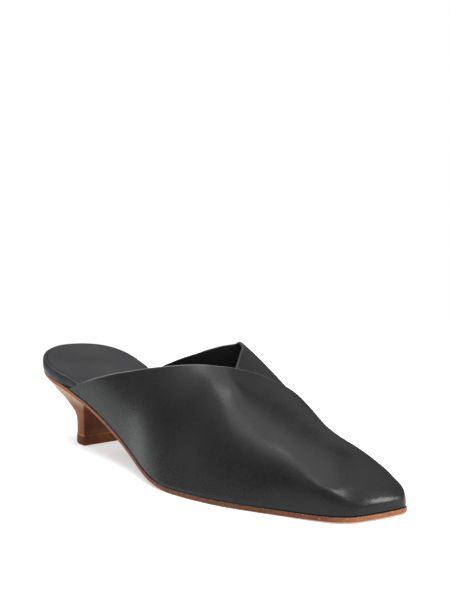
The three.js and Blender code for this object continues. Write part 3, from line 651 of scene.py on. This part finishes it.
def breast_stain_and_shade_material():
    m, nt, b = start("heel_breast_stain_and_shade")
    at = coords(nt)
    z = node(nt, "ShaderNodeSeparateXYZ", {"Vector": at}).outputs["Z"]
    lift = sums(nt, sums(nt, z, 0.0063, "SUBTRACT"), 1 / 0.0035, "MULTIPLY")
    frac = sums(nt, lift, 1.0, "MODULO")
    gap = node(nt, "ShaderNodeMapRange", {"Value": sums(nt, sums(nt, frac, 0.5, "SUBTRACT"), 0.0, "ABSOLUTE"), "From Min": 0.42, "From Max": 0.5, "To Min": 0.0, "To Max": 1.0}).outputs["Result"]
    fib = noise(nt, stretch(nt, at, (1.0, 1.0, 6.0)), 520, 4, 0.65, 0.3)
    cloud = noise(nt, at, 120, 4, 0.6)
    # Darker than the flanks: partly a stained breast, partly painted shade of the shadow under the arch.
    base = blend_colour(nt, remap(nt, cloud, 0.35, 0.65), grey((76, 36, 14)), grey((98, 50, 22)))
    base = blend_colour(nt, remap(nt, fib, 0.44, 0.66, 0.0, 0.6), base, grey((62, 36, 22)))
    base = blend_colour(nt, sums(nt, gap, 0.6, "MULTIPLY"), base, grey((44, 24, 14)))
    nt.links.new(base, b.inputs["Base Color"])
    nt.links.new(remap(nt, cloud, 0.3, 0.7, 0.45, 0.6), b.inputs["Roughness"])
    n1 = relief(nt, sums(nt, 1.0, gap, "SUBTRACT"), 0.5, 0.12)
    nt.links.new(relief(nt, fib, 0.5, 0.05, n1), b.inputs["Normal"])
    b.inputs["Specular IOR Level"].default_value = 0.14
    return m


def lift_material():
    """Top lift: brown with a pale cut line along its upper rim."""
    m, nt, b = start("top_lift")
    at = coords(nt)
    z = node(nt, "ShaderNodeSeparateXYZ", {"Vector": at}).outputs["Z"]
    fine = noise(nt, at, 900, 4, 0.65)
    cloud = noise(nt, at, 130, 3, 0.6)
    base = blend_colour(nt, remap(nt, cloud, 0.35, 0.65), grey((70, 32, 10)), grey((92, 46, 16)))
    base = blend_colour(nt, remap(nt, fine, 0.5, 0.68, 0.0, 0.5), base, grey((78, 44, 24)))
    y = node(nt, "ShaderNodeSeparateXYZ", {"Vector": at}).outputs["Y"]
    rim = sums(nt, sums(nt, remap(nt, z, 0.0052, 0.0056), remap(nt, z, 0.0062, 0.0064, 1.0, 0.0), "MULTIPLY"), remap(nt, y, 0.088, 0.090, 0.25, 1.0), "MULTIPLY")
    base = blend_colour(nt, sums(nt, rim, 0.7, "MULTIPLY"), base, grey((190, 146, 104)))
    # Darker over the lowest millimetre, towards the floor.
    darker_at_bottom = remap(nt, z, 0.0011, 0.0002)
    base = blend_colour(nt, sums(nt, darker_at_bottom, 0.5, "MULTIPLY"), base, grey((66, 46, 34)))
    nt.links.new(base, b.inputs["Base Color"])
    nt.links.new(remap(nt, fine, 0.3, 0.7, 0.5, 0.68), b.inputs["Roughness"])
    nt.links.new(relief(nt, fine, 0.5, 0.06), b.inputs["Normal"])
    b.inputs["Specular IOR Level"].default_value = 0.12
    return m


# ------------------------------------------------------------------ upper
def cosine(a, b, n, ease=1.0):
    """n stations from a to b, closer towards b."""
    t = np.linspace(0, 1, n)
    return a + (b - a) * (t + ease * np.sin(np.pi * t) / np.pi * 0 + ease * (np.sin(t * np.pi / 2) - t))


vamp_rows = np.unique(np.round(np.concatenate([
    np.linspace(55.3, 62, 12), np.arange(63, 172, 1.15), np.arange(172, 204, 0.55), [203.0], np.arange(204, 252, 1.1), cosine(252, LENGTH, 34)]), 4))
wing_rows = np.unique(np.round(np.concatenate([np.linspace(61.7, 66, 14), np.arange(67, 140, 1.15), np.arange(140, 172, 0.6), np.arange(172, 214.5, 1.6), [214.0]]), 4))
wing_rows = wing_rows[wing_rows <= 214.0]
wall = lambda s: WALL - SKIVE * smooth((70 - s) / 15)
vamp = leather_sheet("vamp", vamp_rows, 0, vamp_edge, lambda s, v: VAMP_PROUD * lap(s, v),
                     lambda s, v: wall(s) - 0.4 * lap(s, v), 96, [black, lining, edge_paint_and_highlight], toe=True)
wing = leather_sheet("wing", wing_rows, 1, wing_edge, lambda s, v: -WING_SUNK + 0 * s,
                     lambda s, v: wall(s), 80, [wing_black, lining, wing_rim_paint_and_highlight])

# ------------------------------------------------------------------ insole and outsole
whole = Outline()
floor_of = lambda dz: (lambda p: under(p[:, 0]) + dz)
seat_of = lambda dz: (lambda p: seat(p[:, 0]) + dz)

lip = -(SEAT_EDGE + (SOLE_EDGE - SEAT_EDGE) * smooth((whole.s - 44) / 24))
levels, r = [(6.0, floor_of(0.0)), (2.0, floor_of(0.0))], 0.6
for a in np.radians([0, 18, 36, 54, 72, 90]):
    levels.append((lip + r * (1 - math.sin(a)), floor_of(r * (1 - math.cos(a)))))
levels.append((lip - 0.03, lambda p: (under(p[:, 0]) * 0.5 + seat(p[:, 0]) * 0.5)))
r = 0.32
for a in np.radians([90, 67, 45, 22, 0]):
    levels.append((lip + r * (1 - math.sin(a)), seat_of(-r * (1 - math.cos(a)))))
levels += [(0.5, seat_of(0.0)), (3.0, seat_of(0.0)), (6.0, seat_of(0.0))]
# The top rounding's last band and the top face take slot 2, the painted shade under the upper.
slots = [1, 1] + [0] * (len(levels) - 7) + [2] * 4
outsole = whole.solid("outsole_leather", levels, [sole_edge, sole_face, sole_gap_shade], slots)

inner_line = Outline(end=251.5, corners=(6.0, 6.0))
far_side = np.arange(inner_line.K) > inner_line.n + inner_line.front // 2
at_s = inner_line.s
tuck = -np.where(far_side, INSOLE_PROUD - 2.9 * smooth((at_s - 49) / 12.5) - 0.7 * smooth((at_s - 61.5) / 10),
                 INSOLE_PROUD - 1.8 * smooth((at_s - 43) / 12) - 1.8 * smooth((at_s - 55) / 20))
top_of = lambda dz: (lambda p: seat(p[:, 0]) + insole_thick(p[:, 0]) + dz)
share = lambda k, dz: (lambda p: seat(p[:, 0]) + 0.14 + (insole_thick(p[:, 0]) - 0.14) * k + dz)
levels = [(tuck + 7.0, seat_of(0.14)), (tuck + 1.3, seat_of(0.14)), (tuck + 0.6, seat_of(0.18)), (tuck + 0.2, seat_of(0.38)), (tuck + 0.02, seat_of(0.75)),
          (tuck - 0.05, share(0.35, 0)), (tuck - 0.05, share(0.55, 0))]
rr = lambda p: np.minimum(1.3, 0.42 * insole_thick(p[:, 0]))
for a in np.radians([0, 15, 30, 45, 60, 75, 90]):
    levels.append((tuck + 1.3 * (1 - math.cos(a)), (lambda a: (lambda p: seat(p[:, 0]) + insole_thick(p[:, 0]) - rr(p) * (1 - math.sin(a))))(a)))
levels += [(tuck + 1.75, top_of(0.0)), (tuck + 2.0, top_of(-0.02)), (tuck + 2.15, top_of(-0.14)), (tuck + 2.28, top_of(-0.32)), (tuck + 2.36, top_of(-0.32)),
           (tuck + 2.4, top_of(0.0)), (tuck + 2.55, top_of(0.12)), (tuck + 2.85, top_of(0.17)), (tuck + 3.8, top_of(0.18)), (tuck + 6.5, top_of(0.18))]
slots = [0] * (len(levels) - 6) + [1] * 5
insole = inner_line.solid("insole_board", levels, [wrap, sock], slots, 55)

# ------------------------------------------------------------------ heel
def heel_ring(f, front, grow=0.0, corner=0.9, na=30, nf=26, nc=6):
    """D-shaped ring: round the back from the near side, the near corner, the flat breast and the far corner."""
    mixf = lambda a, b: a + (b - a) * f
    back, reach, c = mixf(SHAFT["back"], -0.29) - grow, mixf(SHAFT["reach"], SEAT_ROUND["reach"]) + grow, mixf(0, SEAT_ROUND["centre"])
    def half(u, side):
        return mixf(SHAFT["half"] + grow, plan_out(u) + 0.2) if side > 0 else mixf(-SHAFT["half"] - grow, plan_inn(u) - 0.2)
    end = back + reach
    front = max(front, end + 0.4)
    def flank(side):
        p = mixf(SHAFT["power"], SEAT_ROUND["out"] if side > 0 else SEAT_ROUND["inn"])
        a = np.radians(np.linspace(0, 90, na))
        u = back + (1 - np.cos(a) ** (2 / p)) * reach
        w = c + (half(u, side) - c) * np.sin(a) ** (2 / p)
        pts = list(zip(u, w))
        rc = min(corner, (front - end) * 0.9)
        for k in (0.25, 0.5, 0.75, 1.0):
            u = end + (front - rc - end) * k
            pts.append((u, float(half(u, side))))
        w1 = float(half(front - rc, side))
        for a in np.linspace(0, np.pi / 2, nc + 1)[1:]:
            pts.append((front - rc + rc * math.sin(a), w1 - side * corner * (1 - math.cos(a))))
        return pts
    near, far = flank(1), flank(-1)
    a, b = np.array(near[-1]), np.array(far[-1])
    face = [tuple(a + (b - a) * k) for k in np.linspace(0, 1, nf + 2)[1:-1]]
    return np.array(near + face + far[:0:-1]), len(near), nf


def heel_solid(name, rings, mats, breast_slot):
    """Rings of (plan ring, z(u)) stacked upwards, closed below and above."""
    pts, faces, index = [], [], []
    n, m = rings[0][0][1], rings[0][0][2]
    K = len(rings[0][0][0])
    for (ring, _, _), z in rings:
        pts.append(np.concatenate([ring, z(ring[:, 0])[:, None]], -1))
    for k in range(len(rings) - 1):
        for c in range(K):
            d = (c + 1) % K
            faces.append((k * K + c, k * K + d, (k + 1) * K + d, (k + 1) * K + c))
            index.append(breast_slot if n - 4 <= c < n + m + 3 else 0)
    base = len(rings) * K
    for which in (0, len(rings) - 1):
        ring, z = pts[which], rings[which][1]
        rows = np.arange(1, n - 1)
        t = (np.arange(m) + 1) / (m + 1)
        a, b = ring[rows], ring[K - rows]
        inside = a[:, None, :2] + (b - a)[:, None, :2] * t[None, :, None]
        inside = inside.reshape(-1, 2)
        pts.append(np.concatenate([inside, z(inside[:, 0])[:, None]], -1))
        off = which * K
        def at(i, j):
            if i == n - 1:
                return off + n - 1 + j
            if j == 0:
                return off + i
            if j == m + 1:
                return off + K - i
            return base + (i - 1) * m + j - 1
        for j in range(m + 1):
            faces.append((off, at(1, j), at(1, j + 1)))
            index.append(0)
        for i in range(1, n - 1):
            for j in range(m + 1):
                faces.append((at(i, j), at(i, j + 1), at(i + 1, j + 1), at(i + 1, j)))
                index.append(0)
        base += len(rows) * m
    return weld(name, np.concatenate(pts), faces, index, mats, 50)


foot = LIFT + 0.08
rings = []
for q in np.concatenate([[0, 0.006, 0.014], np.linspace(0.03, 0.97, 58), [0.985, 0.995, 1.0]]):
    ease = -0.18 * (1 - min(q / 0.014, 1)) ** 2 - 0.15 * max(0, (q - 0.985) / 0.015) ** 2
    rings.append((heel_ring(max(0.0, float(flare(q))), float(breast(q)), ease),
                  (lambda q: (lambda u: foot + (under(u) - 0.06 - foot) * q))(q)))
heel = heel_solid("heel_block", rings, [heel_material(), breast_stain_and_shade_material()], 1)

rings = []
for z, g, more in ((0.0, 0.0, -0.5), (0.12, 0.2, -0.25), (0.4, 0.33, -0.05), (0.8, 0.4, 0.05), (2.0, 0.38, 0.05), (3.5, 0.3, 0.0), (5.0, 0.18, -0.05), (5.55, 0.12, -0.1), (5.8, 0.03, -0.2), (LIFT - 0.04, -0.12, -0.35)):
    rings.append((heel_ring(0.0, 44.8 + more, g), (lambda z: (lambda u: z + 0 * u))(z)))
lift = heel_solid("lift_block", rings, [lift_material()], 0)

# ------------------------------------------------------------------ hang everything on the frame
for piece, cad, slot in ((vamp, "upper", "upper_leather"), (wing, "upper", "upper_leather"), (insole, "insole", "sock_leather"),
                         (outsole, "outsole", "sole_leather"), (heel, "heel", "heel_stack"), (lift, "top_lift", "top_lift")):
    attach(piece, "root")
    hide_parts(cad)

# ------------------------------------------------------------------ floor, light and camera
def plain(name, colour, rough):
    m, nt, b = start(name)
    at = coords(nt)
    n = noise(nt, at, 3.0, 2, 0.5)
    nt.links.new(blend_colour(nt, n, colour, tuple(min(1, c * 1.01) for c in colour[:3]) + (1,)), b.inputs["Base Color"])
    b.inputs["Roughness"].default_value = rough
    b.inputs["Specular IOR Level"].default_value = 0.0
    return m


me = bpy.data.meshes.new("floor")
me.from_pydata([(-0.9, -1.3, 0), (0.9, -1.3, 0), (0.9, 0.34, 0), (-0.9, 0.34, 0)], [], [(0, 1, 2, 3)])
paper_mat = plain("floor_paper", (0.58, 0.59, 0.60, 1), 0.9)
glow = next(n for n in paper_mat.node_tree.nodes if n.type == "BSDF_PRINCIPLED")
# The floor glows faintly on its own, lightening the shadows cast on it and lighting the shoe from below: painted light.
glow.inputs["Emission Color"].default_value = (0.98, 0.99, 1.0, 1)
glow.inputs["Emission Strength"].default_value = 0.46
me.materials.append(paper_mat)
ground = bpy.data.objects.new("floor", me)
bpy.context.scene.collection.objects.link(ground)
ground.location.z = -0.0002

env = bpy.data.worlds.new("studio")
bpy.context.scene.world = env
env.use_nodes = True
nt = env.node_tree
nt.nodes.clear()
out = nt.nodes.new("ShaderNodeOutputWorld")
towards = node(nt, "ShaderNodeSeparateXYZ", {"Vector": nt.nodes.new("ShaderNodeTexCoord").outputs["Generated"]})
up = towards.outputs["Z"]
# dimmer behind and to the right
away = sums(nt, sums(nt, towards.outputs["X"], 0.62, "MULTIPLY"), sums(nt, towards.outputs["Y"], 0.78, "MULTIPLY"))
dim = remap(nt, away, -0.05, 0.62, 1.0, 0.46)
sky = node(nt, "ShaderNodeBackground", {"Strength": 1.0})
rise = nt.nodes.new("ShaderNodeMapRange")
rise.interpolation_type = "SMOOTHSTEP"
nt.links.new(up, rise.inputs["Value"])
for key, value in (("From Min", 0.15), ("From Max", 0.92), ("To Min", 0.32), ("To Max", 1.6)):
    rise.inputs[key].default_value = value
dome = nt.nodes.new("ShaderNodeCombineXYZ")
# a broad lamp a little behind and to the right of straight up
lamp = sums(nt, sums(nt, sums(nt, towards.outputs["X"], 0.171, "MULTIPLY"), sums(nt, towards.outputs["Y"], 0.296, "MULTIPLY")), sums(nt, up, 0.94, "MULTIPLY"))
overhead = sums(nt, remap(nt, lamp, 0.94, 0.985, 0.0, 1.1), remap(nt, up, 0.984, 0.998, 0.0, 1.1))
# and one high on the outer side
side = sums(nt, sums(nt, sums(nt, towards.outputs["X"], -0.4535, "MULTIPLY"), sums(nt, towards.outputs["Y"], 0.1215, "MULTIPLY")), sums(nt, up, 0.883, "MULTIPLY"))
overhead = sums(nt, overhead, remap(nt, side, 0.935, 0.985, 0.0, 2.0))
# the bright sweep of the studio low behind the heel, on the outer side
sweep = sums(nt, sums(nt, towards.outputs["X"], -0.62, "MULTIPLY"), sums(nt, towards.outputs["Y"], 0.78, "MULTIPLY"))
low = sums(nt, remap(nt, sweep, 0.80, 0.98, 0.0, 0.26), remap(nt, up, 0.40, 0.10, 0.0, 1.0), "MULTIPLY")
# a dark flag high on the inner side
flag = sums(nt, sums(nt, sums(nt, towards.outputs["X"], 0.480, "MULTIPLY"), sums(nt, towards.outputs["Y"], 0.224, "MULTIPLY")), sums(nt, up, 0.848, "MULTIPLY"))
shade = remap(nt, flag, 0.955, 0.992, 1.0, 0.32)
level = sums(nt, sums(nt, sums(nt, sums(nt, rise.outputs["Result"], dim, "MULTIPLY"), shade, "MULTIPLY"), overhead), low)
for key in "XYZ":
    nt.links.new(level, dome.inputs[key])
nt.links.new(dome.outputs["Vector"], sky.inputs["Color"])
paper = node(nt, "ShaderNodeBackground", {"Color": (1, 1, 1, 1), "Strength": 1.0})
mixer = nt.nodes.new("ShaderNodeMixShader")
nt.links.new(nt.nodes.new("ShaderNodeLightPath").outputs["Is Camera Ray"], mixer.inputs["Fac"])
nt.links.new(sky.outputs[0], mixer.inputs[1])
nt.links.new(paper.outputs[0], mixer.inputs[2])
nt.links.new(mixer.outputs[0], out.inputs["Surface"])


def softbox(name, at, look, size, power, size_y=None):
    d = bpy.data.lights.new(name, "AREA")
    d.shape, d.size, d.size_y, d.energy = "RECTANGLE", size, size_y or size, power
    o = bpy.data.objects.new(name, d)
    bpy.context.scene.collection.objects.link(o)
    o.location = at
    o.rotation_euler = (Vector(look) - Vector(at)).to_track_quat("-Z", "Y").to_euler()
    return o


softbox("behind", (-0.62, 1.07, 2.75), (0, -0.03, 0.03), 1.0, 15)
softbox("front", (-0.66, -1.62, 2.35), (0, -0.1, 0.02), 1.6, 88)
softbox("front_right", (1.50, -2.05, 0.86), (0, -0.13, 0.01), 0.8, 40, 0.5)

AZ, EL, ROLL = math.radians(51.66589611), math.radians(6.29173523), math.radians(-0.29181436)
target, reach_to = np.array([157.499, 0.0, 91.8996]), 699.966
back_v = np.array([math.sin(AZ) * math.cos(EL), math.cos(AZ) * math.cos(EL), math.sin(EL)])
right_v = np.array([math.cos(AZ), -math.sin(AZ), 0.0])
up_v = np.cross(back_v, right_v)
up_v = up_v if up_v[2] > 0 else -up_v
r2 = right_v * math.cos(ROLL) + up_v * math.sin(ROLL)
u2 = up_v * math.cos(ROLL) - right_v * math.sin(ROLL)
turned = lambda a: Vector((-a[1], -a[0], a[2]))
eye = target + back_v * reach_to
half = 0.5 / 1382.6481
back_v, r2, u2 = back_v + (r2 - u2) * half, r2 - back_v * half, u2 + back_v * half
u2 = u2 - r2 * (r2 @ u2)
back_v, r2, u2 = (a / np.linalg.norm(a) for a in (np.cross(u2, r2), r2, u2))
cam = bpy.data.cameras.new("camera")
cam.sensor_width, cam.sensor_fit, cam.lens = 36.0, "AUTO", 1382.6481 * 36 / 600
cam.clip_start, cam.clip_end = 0.05, 60
camera = bpy.data.objects.new("camera", cam)
bpy.context.scene.collection.objects.link(camera)
x, y, z = turned(r2), turned(u2), turned(back_v)
place = Matrix((x, y, z)).transposed().to_4x4()
place.translation = Vector(world(eye))
camera.matrix_world = place
bpy.context.scene.camera = camera
bpy.context.scene.view_settings.view_transform = "Standard"
bpy.context.scene.view_settings.look = "None"
